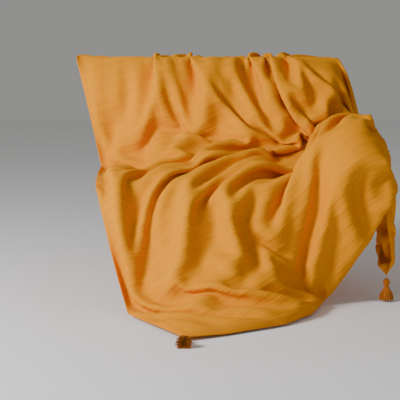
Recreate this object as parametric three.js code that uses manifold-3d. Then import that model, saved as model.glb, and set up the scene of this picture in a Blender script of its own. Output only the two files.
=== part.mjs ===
// Throw blanket, 1700 x 2000 mm, draped askew over a small sofa: one woven panel, the thread of
// its four hems, and a tassel on each corner. The sofa itself isn't part of the object, but its
// seat, back and arm give the cloth its shape.
//
// Millimetres, +Z up, -Y towards the front. The origin is on the underside of the cloth, in the
// middle of the seat.

import * as THREE from "three";
import { mergeVertices } from "three/addons/utils/BufferGeometryUtils.js";
import Module from "manifold-3d";

const wasm = await Module();
wasm.setup();

// ---- driving dimensions --------------------------------------------------------------------

const CLOTH_THICKNESS = 4;
const HEM_WIDTH = 25;
const THREAD_RADIUS = 0.6;
const THREAD_GAP = 0.5;
const THREAD_LIFT = CLOTH_THICKNESS + THREAD_GAP + THREAD_RADIUS;

// the sofa that the cloth lies on
const FLOOR_Z = -430;
const SEAT_Z = 0;
const SEAT_FRONT_Y = -270;
const SEAT_BACK_Y = 220;
const DROP_FOOT_Y = -410;
const BACK_TOP_Z = 430;
const BACK_TOP_FRONT_Y = 330;
const REAR_Y = 500;
const BACK_END_X = 620;
const ARM_INNER_X = 570;
const ARM_OUTER_X = 705;
const ARM_FRONT_Y = -290;
const ARM_REAR_Y = 380;
const ARM_TOP_Z = 170;
const EDGE_RADIUS = 40;
const ARC_STEPS = 5;

// the corners of the cloth, on the outer surface
const FRONT_CORNER = { x: -10, y: -845 };
const SIDE_CORNER = { y: -250, z: -335 };
const REAR_LEFT_CORNER = { x: -400, z: 350 };
const REAR_RIGHT_CORNER = { z: 40 };

// a tassel: its cord hangs from its stitches, and the rest is measured down from its eye
const CORD_RADIUS = 1.2;
const CORD_LENGTH = 10;
const CORD_END_GAP = 0.4;
const STITCH_DROP = 2.5;
const HEAD_RADIUS = 12.5;
const HEAD_DROP = 14.5;
const NECK_RADIUS = 7;
const NECK_BOTTOM = 31;
const BINDING_THICKNESS = 1.6;
const BINDING_TOP = 26;
const BINDING_BOTTOM = 30.5;
const SKIRT_TOP_RADIUS = 8.5;
const SKIRT_RADIUS = 29;
const SKIRT_BOTTOM = 80;
const GAP = 0.3;
const ROUND_SEGMENTS = 20;
const CORD_SEGMENTS = 8;

// the front tassel lies on the floor: how far its cord and its axis rise, and its flat skirt
const LYING_CORD_RISE = 48;
const LYING_RISE = 4.3;
const LYING_FLATTEN = 0.6;
const LYING_CORD_START = { forward: 3, up: CLOTH_THICKNESS };

// past every face of the object
const FAR = 1200;

// ---- materials -----------------------------------------------------------------------------

function fabric(color) {
  return new THREE.MeshStandardMaterial({ color, roughness: 0.92, metalness: 0 });
}

const clothMaterial = fabric(0xdc9839);
const threadMaterial = fabric(0xb77620);
const yarnMaterial = fabric(0xb8691c);

// ---- solids --------------------------------------------------------------------------------

function toSolid(geometry) {
  const plain = geometry.clone();
  plain.deleteAttribute("normal");
  plain.deleteAttribute("uv");
  const merged = mergeVertices(plain, 1e-4);
  return new wasm.Manifold(new wasm.Mesh({
    numProp: 3,
    vertProperties: new Float32Array(merged.attributes.position.array),
    triVerts: new Uint32Array(merged.index.array),
  }));
}

function toGeometry(solid) {
  const mesh = solid.getMesh();
  const geometry = new THREE.BufferGeometry();
  geometry.setAttribute("position", new THREE.BufferAttribute(mesh.vertProperties, 3));
  geometry.setIndex(new THREE.BufferAttribute(mesh.triVerts, 1));
  geometry.computeVertexNormals();
  return geometry;
}

function extrude(points, depth) {
  const shape = new THREE.Shape(points.map(([u, v]) => new THREE.Vector2(u, v)));
  return new THREE.ExtrudeGeometry(shape, { depth, bevelEnabled: false });
}

// a side view outline of [y, z] points, filled between two x
function sidePrism(points, from, to) {
  const turn = new THREE.Matrix4().set(0, 0, 1, from, 1, 0, 0, 0, 0, 1, 0, 0, 0, 0, 0, 1);
  return toSolid(extrude(points, to - from).applyMatrix4(turn));
}

// a front view outline of [x, z] points, filled between two y
function frontPrism(points, from, to) {
  const turn = new THREE.Matrix4().set(1, 0, 0, 0, 0, 0, -1, to, 0, 1, 0, 0, 0, 0, 0, 1);
  return toSolid(extrude(points, to - from).applyMatrix4(turn));
}

// a plan view outline of [x, y] points, filled over the whole height
function planPrism(points) {
  return toSolid(extrude(points, 2 * FAR).translate(0, 0, -FAR));
}

// points of an arc, anticlockwise between two angles in degrees
function arc(u, v, radius, from, to) {
  const { degToRad } = THREE.MathUtils;
  const curve = new THREE.EllipseCurve(u, v, radius, radius, degToRad(from), degToRad(to));
  return curve.getPoints(ARC_STEPS).map((point) => [point.x, point.y]);
}

// ---- the sofa's form, grown outwards by a distance ------------------------------------------

const DROP_SLOPE = (SEAT_FRONT_Y - DROP_FOOT_Y) / (SEAT_Z - FLOOR_Z);
const BACK_SLOPE = (BACK_TOP_FRONT_Y - SEAT_BACK_Y) / (BACK_TOP_Z - SEAT_Z);
const DROP_TILT = THREE.MathUtils.radToDeg(Math.atan(DROP_SLOPE));
const BACK_TILT = THREE.MathUtils.radToDeg(Math.atan(BACK_SLOPE));

// y of the front drop and of the back's front face at a height
function dropY(z, grow) {
  return SEAT_FRONT_Y + DROP_SLOPE * (z - SEAT_Z) - grow * Math.hypot(1, DROP_SLOPE);
}

function backY(z, grow) {
  return SEAT_BACK_Y + BACK_SLOPE * (z - SEAT_Z) - grow * Math.hypot(1, BACK_SLOPE);
}

// side view from the floor over the front edge of the seat to its crease
function seatProfile(grow) {
  const edgeZ = SEAT_Z - EDGE_RADIUS;
  const edgeY = dropY(edgeZ, -EDGE_RADIUS);
  return [
    [dropY(FLOOR_Z + grow, grow), FLOOR_Z + grow],
    ...arc(edgeY, edgeZ, EDGE_RADIUS + grow, 90, 180 - DROP_TILT).reverse(),
    [backY(SEAT_Z + grow, grow), SEAT_Z + grow],
  ];
}

// side view from the crease over the top of the back and down behind it
function backProfile(grow) {
  const edgeZ = BACK_TOP_Z - EDGE_RADIUS;
  const frontY = backY(edgeZ, -EDGE_RADIUS);
  const radius = EDGE_RADIUS + grow;
  return [
    ...arc(frontY, edgeZ, radius, 90, 180 - BACK_TILT).reverse(),
    ...arc(REAR_Y - EDGE_RADIUS, edgeZ, radius, 0, 90).reverse(),
  ];
}

function armForm(grow) {
  const edgeZ = ARM_TOP_Z - EDGE_RADIUS;
  const radius = EDGE_RADIUS + grow;
  return frontPrism([
    [ARM_INNER_X - grow, -FAR],
    [ARM_OUTER_X + grow, -FAR],
    ...arc(ARM_OUTER_X - EDGE_RADIUS, edgeZ, radius, 0, 90),
    ...arc(ARM_INNER_X + EDGE_RADIUS, edgeZ, radius, 90, 180),
  ], ARM_FRONT_Y - grow, ARM_REAR_Y + grow);
}

function sofaForm(grow) {
  const floor = [[-FAR, -FAR], [-FAR, FLOOR_Z + grow]];
  const seat = [...floor, ...seatProfile(grow), [SEAT_BACK_Y, -FAR]].reverse();
  const back = [
    ...floor, ...seatProfile(grow), ...backProfile(grow), [REAR_Y + grow, -FAR],
  ].reverse();
  return sidePrism(seat, -FAR, ARM_OUTER_X + grow)
    .add(sidePrism(back, -FAR, BACK_END_X + grow))
    .add(armForm(grow));
}

// ---- the edges of the cloth ------------------------------------------------------------------

// plan view: the front edge on the floor, and the left edge
const floorEdge = [
  [FRONT_CORNER.x, FRONT_CORNER.y], [120, -777], [318, -641], [417, -495], [468, DROP_FOOT_Y - 2],
];
const leftEdge = [
  [-445, REAR_Y + 20], [-458, BACK_TOP_FRONT_Y], [-350, SEAT_BACK_Y], [-330, SEAT_FRONT_Y],
  [-220, DROP_FOOT_Y],
];

// front view: the front edge where it climbs from the floor to the arm
const climbingEdge = [
  [468, FLOOR_Z - 10], [468, FLOOR_Z + 6], [501, -393], [554, -324], [600, -253], [638, -147],
  [657, -60],
];

// side view: the hanging corner outside the arm, and the right edge behind it
const hangingEdge = [
  [-300, -40], [SIDE_CORNER.y, SIDE_CORNER.z], [-120, -60], [0, -20],
];
const rightEdge = [
  [0, -20], [200, 40], [ARM_REAR_Y, 90], [REAR_Y + 4, REAR_RIGHT_CORNER.z],
];

// front view: the rear edge behind the back
const rearEdge = [
  [-445, BACK_TOP_Z], [REAR_LEFT_CORNER.x, REAR_LEFT_CORNER.z],
  [BACK_END_X + CLOTH_THICKNESS, REAR_RIGHT_CORNER.z],
];

function throwCloth() {
  const outline = planPrism([
    ...floorEdge, [FAR, DROP_FOOT_Y - 2], [FAR, REAR_Y + 20], ...leftEdge,
  ]);
  const underClimb = frontPrism(
    [...climbingEdge, [ARM_OUTER_X - 5, -60], [ARM_OUTER_X - 5, FLOOR_Z - 10]].reverse(),
    -FAR, 0,
  );
  const underHang = sidePrism(
    [[-FAR, -FAR], [0, -FAR], ...[...hangingEdge].reverse(), [-FAR, -40]],
    ARM_OUTER_X - 5, FAR,
  );
  const underRight = sidePrism(
    [[0, -FAR], [FAR, -FAR], [FAR, REAR_RIGHT_CORNER.z], ...[...rightEdge].reverse()],
    BACK_END_X - 8, FAR,
  );
  const underRear = frontPrism(
    [[-FAR, -FAR], [FAR, -FAR], [FAR, REAR_RIGHT_CORNER.z], ...[...rearEdge].reverse(),
      [-FAR, BACK_TOP_Z]],
    REAR_Y - 50, FAR,
  );
  return sofaForm(CLOTH_THICKNESS)
    .subtract(sofaForm(0))
    .intersect(outline)
    .subtract(underClimb)
    .subtract(underHang)
    .subtract(underRight)
    .subtract(underRear);
}

// ---- hem stitching ---------------------------------------------------------------------------

// one line of thread through [x, y, z] points
function thread(points) {
  const places = points.map(([x, y, z]) => new THREE.Vector3(x, y, z));
  const up = new THREE.Vector3(0, 1, 0);
  let line = null;
  for (let i = 0; i < places.length; i += 1) {
    const knot = new THREE.IcosahedronGeometry(THREAD_RADIUS, 0);
    knot.translate(places[i].x, places[i].y, places[i].z);
    line = line ? line.add(toSolid(knot)) : toSolid(knot);
    if (i === 0) continue;
    const along = places[i].clone().sub(places[i - 1]);
    const middle = places[i].clone().add(places[i - 1]).multiplyScalar(0.5);
    const stretch = new THREE.CylinderGeometry(THREAD_RADIUS, THREAD_RADIUS, along.length(), 6);
    stretch.applyQuaternion(new THREE.Quaternion().setFromUnitVectors(up, along.normalize()));
    stretch.translate(middle.x, middle.y, middle.z);
    line = line.add(toSolid(stretch));
  }
  return line;
}

// an open outline moved to its left by a distance, with mitred corners
function inset(points, distance) {
  const sides = points.slice(1).map(([u, v], i) => {
    const [du, dv] = [u - points[i][0], v - points[i][1]];
    const length = Math.hypot(du, dv);
    return [du / length, dv / length];
  });
  return points.map(([u, v], i) => {
    const [au, av] = sides[Math.max(i - 1, 0)];
    const [bu, bv] = sides[Math.min(i, sides.length - 1)];
    const scale = distance / (1 + au * bu + av * bv);
    return [u - (av + bv) * scale, v + (au + bu) * scale];
  });
}

// the first coordinate of an outline where its second has a value
function alongOutline(points, value) {
  const i = points.findIndex(([, v], k) => k > 0 && (v - value) * (points[k - 1][1] - value) <= 0);
  const [[u0, v0], [u1, v1]] = i > 0 ? [points[i - 1], points[i]] : points.slice(-2);
  return u0 + ((u1 - u0) * (value - v0)) / (v1 - v0);
}

const outlineOnFloor = inset([...leftEdge.slice(-2), ...floorEdge], HEM_WIDTH);
const outlineOnClimb = inset(climbingEdge.slice(1), HEM_WIDTH);
const floorThreadZ = FLOOR_Z + THREAD_LIFT;
const sideThreadX = ARM_OUTER_X + THREAD_LIFT;
const rearThreadY = REAR_Y + THREAD_LIFT;
const THREAD_END = 8;

function frontStitching() {
  const onFloor = outlineOnFloor.slice(2, -1).map(([x, y]) => [x, y, floorThreadZ]);
  onFloor[0][0] += THREAD_END;
  const onDrop = outlineOnClimb.slice(0, -1).map(([x, z]) => [x, dropY(z, THREAD_LIFT), z]);
  const foot = [onDrop[0][0] - HEM_WIDTH, dropY(floorThreadZ, THREAD_LIFT), floorThreadZ];
  const armFrontY = ARM_FRONT_Y - THREAD_LIFT;
  return thread([
    ...onFloor, foot, ...onDrop.slice(1),
    [640, armFrontY, -60 + HEM_WIDTH], [sideThreadX, armFrontY, -40 + HEM_WIDTH],
    [sideThreadX, -258, SIDE_CORNER.z + 100],
  ]);
}

function leftStitching() {
  const line = inset(leftEdge, HEM_WIDTH);
  const [startX, startY] = outlineOnFloor[2];
  const profile = [...seatProfile(THREAD_LIFT), ...backProfile(THREAD_LIFT)];
  const climb = profile.map(([y, z]) => [alongOutline(line, y), y, z]);
  const endZ = REAR_LEFT_CORNER.z + HEM_WIDTH + THREAD_END;
  const end = [REAR_LEFT_CORNER.x + HEM_WIDTH, rearThreadY, endZ];
  return thread([[startX - THREAD_END / 2, startY + THREAD_END, floorThreadZ], ...climb, end]);
}

function rearStitching() {
  const [, [leftX, leftZ], [rightX, rightZ]] = rearEdge;
  return thread([
    [leftX + HEM_WIDTH + THREAD_END, rearThreadY, leftZ + HEM_WIDTH - THREAD_END / 2],
    [rightX - HEM_WIDTH, rearThreadY, rightZ + HEM_WIDTH + THREAD_END],
  ]);
}

function rightStitching() {
  const line = inset([...rightEdge].reverse(), -HEM_WIDTH);
  const endX = BACK_END_X + THREAD_LIFT;
  const armRearY = ARM_REAR_Y + THREAD_LIFT;
  const armZ = 90 + HEM_WIDTH;
  const onArm = line.slice(2).map(([y, z]) => [sideThreadX, y, z]);
  return thread([
    [endX, REAR_Y - HEM_WIDTH, REAR_RIGHT_CORNER.z + 2 * HEM_WIDTH],
    [endX, armRearY, armZ], [sideThreadX, armRearY, armZ],
    ...onArm, [sideThreadX, -140, -60 + HEM_WIDTH], [sideThreadX, -236, SIDE_CORNER.z + 100],
  ]);
}

// ---- tassels -----------------------------------------------------------------------------------

function round(profile, segments = ROUND_SEGMENTS) {
  const points = profile.map(([r, z]) => new THREE.Vector2(r, z));
  return new THREE.LatheGeometry(points, segments).rotateX(Math.PI / 2);
}

// from the stitches down to the eye of the head, both ends round
function tasselCord() {
  const top = -CORD_END_GAP - CORD_RADIUS;
  const bottom = -CORD_LENGTH + CORD_END_GAP + CORD_RADIUS;
  const profile = [...arc(0, bottom, CORD_RADIUS, -90, 0), ...arc(0, top, CORD_RADIUS, 0, 90)];
  return round(profile, CORD_SEGMENTS);
}

// the pieces below are measured from the eye, where the head turns on the cord

// a wound ball, with its eye above it and its neck below it
function tasselHead() {
  const { radToDeg } = THREE.MathUtils;
  const neckAngle = radToDeg(Math.acos(NECK_RADIUS / HEAD_RADIUS));
  const eyeAngle = radToDeg(Math.acos(CORD_RADIUS / HEAD_RADIUS));
  return round([
    [0, -NECK_BOTTOM],
    [NECK_RADIUS, -NECK_BOTTOM],
    ...arc(0, -HEAD_DROP, HEAD_RADIUS, -neckAngle, eyeAngle),
    ...arc(0, -CORD_END_GAP - CORD_RADIUS, CORD_RADIUS, 0, 90),
  ]);
}

function tasselBinding() {
  const inner = NECK_RADIUS + GAP;
  const outer = inner + BINDING_THICKNESS;
  return round([
    [inner, -BINDING_BOTTOM], [outer, -BINDING_BOTTOM], [outer, -BINDING_TOP],
    [inner, -BINDING_TOP], [inner, -BINDING_BOTTOM],
  ]);
}

function tasselSkirt() {
  const top = -NECK_BOTTOM - GAP;
  const flare = new THREE.CubicBezierCurve(
    new THREE.Vector2(SKIRT_RADIUS, -SKIRT_BOTTOM),
    new THREE.Vector2(SKIRT_RADIUS - 5, -SKIRT_BOTTOM + 20),
    new THREE.Vector2(SKIRT_TOP_RADIUS + 9, top - 8),
    new THREE.Vector2(SKIRT_TOP_RADIUS, top),
  );
  const outline = flare.getPoints(8).map((point) => [point.x, point.y]);
  return round([[0, -SKIRT_BOTTOM], ...outline, [0, top]]);
}

function yarnPiece(name, geometry) {
  const mesh = new THREE.Mesh(geometry, yarnMaterial);
  mesh.name = name;
  return mesh;
}

// a tassel that hangs down from its stitches; bend turns the head on the end of the cord
function tassel(name, bend = 0) {
  const head = new THREE.Group();
  const skirt = yarnPiece(`${name}_skirt`, tasselSkirt());
  head.add(
    yarnPiece(`${name}_head`, tasselHead()),
    yarnPiece(`${name}_binding`, tasselBinding()),
    skirt,
  );
  head.position.z = -CORD_LENGTH;
  head.rotation.x = THREE.MathUtils.degToRad(bend);
  if (bend) skirt.scale.y = LYING_FLATTEN;
  const whole = new THREE.Group();
  whole.add(yarnPiece(`${name}_cord`, tasselCord()), head);
  return whole;
}

// ---- the throw ---------------------------------------------------------------------------------

function named(name, solid, material) {
  const mesh = new THREE.Mesh(toGeometry(solid), material);
  mesh.name = name;
  return mesh;
}

const throwBlanket = new THREE.Group();
throwBlanket.add(
  named("throw_cloth", throwCloth(), clothMaterial),
  named("hem_stitching_front", frontStitching(), threadMaterial),
  named("hem_stitching_left", leftStitching(), threadMaterial),
  named("hem_stitching_rear", rearStitching(), threadMaterial),
  named("hem_stitching_right", rightStitching(), threadMaterial),
);

const middle = CLOTH_THICKNESS / 2;
const tasselFront = tassel("tassel_front", LYING_CORD_RISE - LYING_RISE);
tasselFront.rotation.x = -THREE.MathUtils.degToRad(90 + LYING_CORD_RISE);
tasselFront.position.set(
  FRONT_CORNER.x, FRONT_CORNER.y - LYING_CORD_START.forward, FLOOR_Z + LYING_CORD_START.up,
);
const tasselSide = tassel("tassel_side");
tasselSide.position.set(ARM_OUTER_X + middle, SIDE_CORNER.y, SIDE_CORNER.z - STITCH_DROP);
const tasselRearLeft = tassel("tassel_rear_left");
tasselRearLeft.position.set(
  REAR_LEFT_CORNER.x, REAR_Y + middle, REAR_LEFT_CORNER.z - STITCH_DROP,
);
const tasselRearRight = tassel("tassel_rear_right");
tasselRearRight.position.set(
  BACK_END_X + middle, REAR_Y + middle, REAR_RIGHT_CORNER.z - STITCH_DROP,
);
throwBlanket.add(tasselFront, tasselSide, tasselRearLeft, tasselRearRight);

export default throwBlanket;
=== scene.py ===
"""A ribbed cotton throw with four corner tassels, draped askew over the corner of a sofa.

Metres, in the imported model's frame: +Z up, the front towards -Y, the origin on the seat under the cloth.
"""
import math
from typing import NamedTuple

import bpy
import numpy as np
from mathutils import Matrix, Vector


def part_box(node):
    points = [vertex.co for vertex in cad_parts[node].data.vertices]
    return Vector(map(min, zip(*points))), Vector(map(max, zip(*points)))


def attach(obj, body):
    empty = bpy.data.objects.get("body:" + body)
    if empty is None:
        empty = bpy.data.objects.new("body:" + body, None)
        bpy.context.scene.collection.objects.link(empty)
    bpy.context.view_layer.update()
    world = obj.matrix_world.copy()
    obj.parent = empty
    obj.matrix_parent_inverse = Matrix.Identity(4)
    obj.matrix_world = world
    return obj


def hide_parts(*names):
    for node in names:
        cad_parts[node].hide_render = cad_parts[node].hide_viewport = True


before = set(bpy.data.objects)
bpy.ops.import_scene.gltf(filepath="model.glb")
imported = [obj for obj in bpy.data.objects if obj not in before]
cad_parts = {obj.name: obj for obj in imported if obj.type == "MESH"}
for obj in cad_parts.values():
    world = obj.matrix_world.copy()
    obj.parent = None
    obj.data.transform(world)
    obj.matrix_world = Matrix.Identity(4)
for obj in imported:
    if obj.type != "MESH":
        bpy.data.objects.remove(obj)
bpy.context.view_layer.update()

# ---- driving sizes

WIDTH = 1.70  # the cloth's short edge, along the raised ribs
LENGTH = 2.00  # its long edge
HEM = 0.025  # width of the sewn hem
STITCH_INSET = 0.022  # the hem's stitch line, from the edge
HALF_CLOTH = 0.0009  # half the thickness of one layer
HALF_HEM = 0.0019  # half the thickness of the folded hem
RIB_GROUP_PITCH = 0.047  # one group of raised ribs to the next
RIB_PITCH = 0.007  # ribs inside a group
RIB_HALF_WIDTH = 0.0015
RIB_HEIGHT = 0.0010

FLOOR_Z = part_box("throw_cloth")[0][2]
TASSELS = ("front", "side", "rear_left", "rear_right")


def cord_top(name):
    """Where a tassel's cord is sewn to its corner of the cloth."""
    low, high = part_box(f"tassel_{name}_cord")
    return np.array([(low[0] + high[0]) / 2, (low[1] + high[1]) / 2, high[2]])


# ---- the sofa under the cloth

SEAT_FRONT_Y = -0.27
BACK_LEAN = math.atan2(0.11, 0.43)
BACK_TOP = np.array([0.01, 0.33, 0.43])
BACK_THICKNESS = 0.12
BACK_LENGTH = 0.66


class Block:
    """A rounded box that the cloth rests on: its middle, half size, edge radius and lean about X."""

    def __init__(self, middle, half, radius, lean=0.0):
        cos, sin = math.cos(lean), math.sin(lean)
        self.middle = np.array(middle, np.float32)[:, None]
        self.core = (np.array(half) - radius).astype(np.float32)[:, None]
        self.radius = radius
        self.turn = np.array([[1, 0, 0], [0, cos, -sin], [0, sin, cos]], np.float32)

    def push_out(self, points, gap, normals):
        """Moves the points nearer than the gap out to it, and notes the normal at each of them."""
        local = self.turn @ (points - self.middle)
        beyond = np.abs(local) - self.core
        near = np.flatnonzero((beyond < self.radius + gap).all(0))
        if len(near) == 0:
            return
        local, beyond = local[:, near], beyond[:, near]
        out = np.maximum(beyond, 0)
        distance = np.sqrt((out * out).sum(0))
        inside = distance < 1e-6
        face = np.zeros_like(out)
        face[beyond.argmax(0), np.arange(len(near))] = 1
        normal = np.where(inside, face, out / np.maximum(distance, 1e-6))
        depth = gap + self.radius - np.where(inside, beyond.max(0), distance)
        touching = depth > 0
        normal = self.turn.T @ (normal * np.sign(local + 1e-12))[:, touching]
        index = near[touching]
        points[:, index] += normal * depth[touching]
        normals[:, index] = normal


def sofa_blocks():
    """The seat, the back cushion, the frame behind it, the right arm, and a slope in the seat's crease."""
    up = np.array([0, math.sin(BACK_LEAN), math.cos(BACK_LEAN)])
    rearward = np.array([0, math.cos(BACK_LEAN), -math.sin(BACK_LEAN)])
    cushion = BACK_TOP - up * BACK_LENGTH / 2 + rearward * BACK_THICKNESS / 2
    return [
        Block((0, 0.04, -0.18), (0.60, 0.31, 0.18), 0.05),
        Block(cushion, (0.58, BACK_THICKNESS / 2, BACK_LENGTH / 2), 0.045, BACK_LEAN),
        Block((0.01, 0.43, 0.17), (0.58, 0.065, 0.26), 0.045),
        Block((0.612, 0.05, -0.055), (0.058, 0.335, 0.225), 0.045),
        Block((0.22, 0.098, 0.055), (0.37, 0.22, 0.05), 0.05, math.radians(-27)),
    ]


# ---- how the cloth is laid

LYING_LIFT, HANGING_LIFT = (0, 0.003, 0.004), (0, 0, 0.003)  # each corner, from where its cord is sewn
CORNERS = {name: cord_top(name) + (LYING_LIFT if name == "front" else HANGING_LIFT) for name in TASSELS}

# the front hem: distance along the short edge, then where it lies
FRONT_HEM = np.array([
    (0, *CORNERS["front"]),
    (.147, .12, -.777, -.422), (.387, .318, -.641, -.422), (.563, .417, -.495, -.422),
    (.73, .468, -.336, -.418), (.782, .501, -.32, -.39), (.87, .554, -.305, -.324),
    (.955, .6, -.3, -.253), (1.031, .627, -.3, -.182), (1.14, .657, -.305, -.076),
    (1.275, .697, -.292, .052), (1.31, .702, -.285, .045), (1.37, .703, -.285, -.018),
    (1.445, .694, -.285, -.09), (1.49, .697, -.282, -.135), (1.595, .717, -.27, -.235),
    (1.635, .721, -.262, -.274), (WIDTH, *CORNERS["side"]),
])

# the left hem: distance along the long edge, then where it lies
LEFT_HEM = np.array([
    (0, *CORNERS["front"]),
    (.375, -.204, -.51, -.418), (.62, -.272, -.38, -.22), (.86, -.33, -.27, -.01),
    (1.1, -.345, -.02, .01), (1.33, -.351, .21, .015), (1.56, -.4, .275, .22),
    (1.79, -.458, .33, .44), (1.93, -.44, .47, .44),
    (LENGTH, *CORNERS["rear_left"]),
])

# the side hem's lowest stretch, which hangs as a narrow strip outside the arm
SIDE_HEM = np.array([
    (0, *CORNERS["side"]),
    (.055, .674, -.245, -.3), (.13, .69, -.205, -.24), (.2, .705, -.17, -.185),
    (.31, .714, -.13, -.09), (.45, .714, -.09, .04),
])

# the rear hem and the side hem where they come down to the rear right corner
REAR_HEM_END = np.array([
    (1.42, .38, .503, .14), (1.58, .52, .503, .092), (WIDTH, *CORNERS["rear_right"]),
])
SIDE_HEM_END = np.array([
    (1.8, .672, .36, .12), (1.9, .65, .44, .09), (LENGTH, *CORNERS["rear_right"]),
])

# the pleats on the back's top edge: distance along the cloth, and where that point lies in x
BACK_TOP_PLEATS = np.array([
    (0, -.458), (.33, -.145), (.41, -.135), (.56, -.002), (.63, .008), (.86, .225),
    (.92, .233), (.99, .294), (1.05, .302), (1.08, .326), (1.14, .334), (1.2, .384),
    (1.26, .392), (1.44, .6),
])


def back_top_reach(along):
    """How far up the cloth the back's top edge comes, at a distance along the short edge."""
    return np.interp(along, [0, 0.3, 0.75, 1.45], [1.79, 1.72, 1.62, 1.42])


def place(table, distance):
    """Where the cloth's edge lies at a distance along it."""
    return np.stack([np.interp(distance, table[:, 0], table[:, i]) for i in (1, 2, 3)], -1)


# loose places between the edges: (along the short edge, along the long edge), then where that lies
LAY = [
    ((1.7, 1.55), (.66, .39, .19)), ((1.56, 1.5), (.632, .36, .33)),
    ((1.15, 2), (.28, .52, .15)), ((.55, 2), (-.08, .52, .26)),
    ((1.7, .8), (.7, .1, -.08)),
    ((1.7, 1.1), (.69, .28, .02)), ((1.7, 1.35), (.68, .35, .12)),
    # across the crease of the seat
    ((.15, 1.28), (-.21, .15, .05)), ((.33, 1.23), (-.06, .11, .08)),
    ((.64, 1.13), (.22, .08, .12)),
    ((.98, 1.03), (.46, .1, .12)),
    # the seat's front edge
    ((.33, .74), (-.1, -.27, 0)), ((.6, .6), (.12, -.27, 0)),
    ((.86, .44), (.36, -.28, .01)), ((.98, .33), (.48, -.29, .05)),
    # the nose of cloth over the arm's front, and the arm's top
    ((1.03, .25), (.522, -.31, .065)), ((1.14, .27), (.6, -.31, .115)),
    ((1.2, .34), (.6, -.25, .175)), ((1.32, .7), (.61, .03, .185)),
    ((1.36, 1.02), (.6, .19, .2)), ((1.3, .12), (.705, -.27, .02)),
    # the folded strip outside the arm
    ((1.6, .012), (.722, -.262, -.235)), ((1.6, .075), (.673, -.243, -.235)),
    ((1.5, .035), (.725, -.266, -.14)), ((1.5, .095), (.674, -.24, -.14)),
    ((1.4, .04), (.727, -.262, -.045)), ((1.4, .09), (.69, -.235, -.045)),
]


# the distances along each hem, and along the pleats, that the first lay takes its places from
FRONT_ANCHORS = (0, 0.15, 0.39, 0.56, 0.73, 0.87, 1.03, 1.14, 1.28, 1.37, 1.49, 1.6, WIDTH)
LEFT_ANCHORS = (0.19, 0.375, 0.62, 0.86, 1.1, 1.33, 1.56, 1.79, 1.93, LENGTH)
SIDE_ANCHORS = (0.06, 0.13, 0.2, 0.31, 0.45)
PLEAT_ANCHORS = (0.15, 0.34, 0.55, 0.72, 0.88, 1.04, 1.18, 1.32, 1.42)
PLEAT_FRONT = (0.35, 0.445)  # the pleats' y and z at the front of the back's top
PLEAT_REAR = (0.47, 0.442)  # and at its rear
PLEAT_HELD = (0.35, 0.442)  # where the drape holds them
PLEAT_DEPTH = 0.13  # the cloth's length from that front to that rear
PLEAT_END = 1.97  # at most this far along the cloth


def lay_anchors():
    """Every place that the first lay passes near: the edges, the pleats and the loose places."""
    anchors = [((a, 0.0), place(FRONT_HEM, a)) for a in FRONT_ANCHORS]
    anchors += [((0.0, b), place(LEFT_HEM, b)) for b in LEFT_ANCHORS]
    anchors += [((WIDTH, b), place(SIDE_HEM, b)) for b in SIDE_ANCHORS]
    anchors += [((a, LENGTH), place(REAR_HEM_END, a)) for a in REAR_HEM_END[:, 0]]
    anchors += [((WIDTH, b), place(SIDE_HEM_END, b)) for b in SIDE_HEM_END[:-1, 0]]
    for along in PLEAT_ANCHORS:
        x = float(np.interp(along, *BACK_TOP_PLEATS.T))
        reach = float(back_top_reach(along))
        anchors.append(((along, reach), (x, *PLEAT_FRONT)))
        anchors.append(((along, min(reach + PLEAT_DEPTH, PLEAT_END)), (x, *PLEAT_REAR)))
    return anchors + LAY


LAY_GAP = 0.006  # the lay's distance from the sofa and the floor
FLOOR_BEND = 0.045  # how gently the lay bends on to the floor
ANCHOR_SLACK = 1e-4  # how freely the lay may miss its anchors, to stay smooth
STRIP_LENGTH = 0.40  # how much of the side hem is held outside the arm


def first_lay(spacing):
    """A smooth surface near all the anchors, as a grid of points."""
    along, across = cloth_grid(spacing)
    anchors = lay_anchors()
    flat = np.array([a for a, _ in anchors], float)
    where = np.array([p for _, p in anchors], float)
    count = len(flat)
    matrix = np.zeros((count + 3, count + 3))
    between = np.linalg.norm(flat[:, None] - flat[None], axis=2) ** 3
    matrix[:count, :count] = between + ANCHOR_SLACK * np.eye(count)
    matrix[:count, count], matrix[count, :count] = 1, 1
    matrix[:count, count + 1:], matrix[count + 1:, :count] = flat, flat.T
    weights = np.linalg.solve(matrix, np.vstack([where, np.zeros((3, 3))]))
    points = np.stack([along.ravel(), across.ravel()], 1)
    reach = np.linalg.norm(points[:, None] - flat[None], axis=2) ** 3
    lay = reach @ weights[:count] + weights[count] + points @ weights[count + 1:]
    above = (lay[:, 2] - FLOOR_Z - LAY_GAP) / FLOOR_BEND
    lay[:, 2] = FLOOR_Z + LAY_GAP + FLOOR_BEND * np.logaddexp(0, above)
    return lay.T.reshape(3, *along.shape).astype(np.float32)


def cloth_grid(spacing):
    """The flat cloth's own coordinates, along its short edge and along its long edge."""
    short = np.linspace(0, WIDTH, round(WIDTH / spacing) + 1)
    long = np.linspace(0, LENGTH, round(LENGTH / spacing) + 1)
    return np.meshgrid(short, long, indexing="ij")


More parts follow.
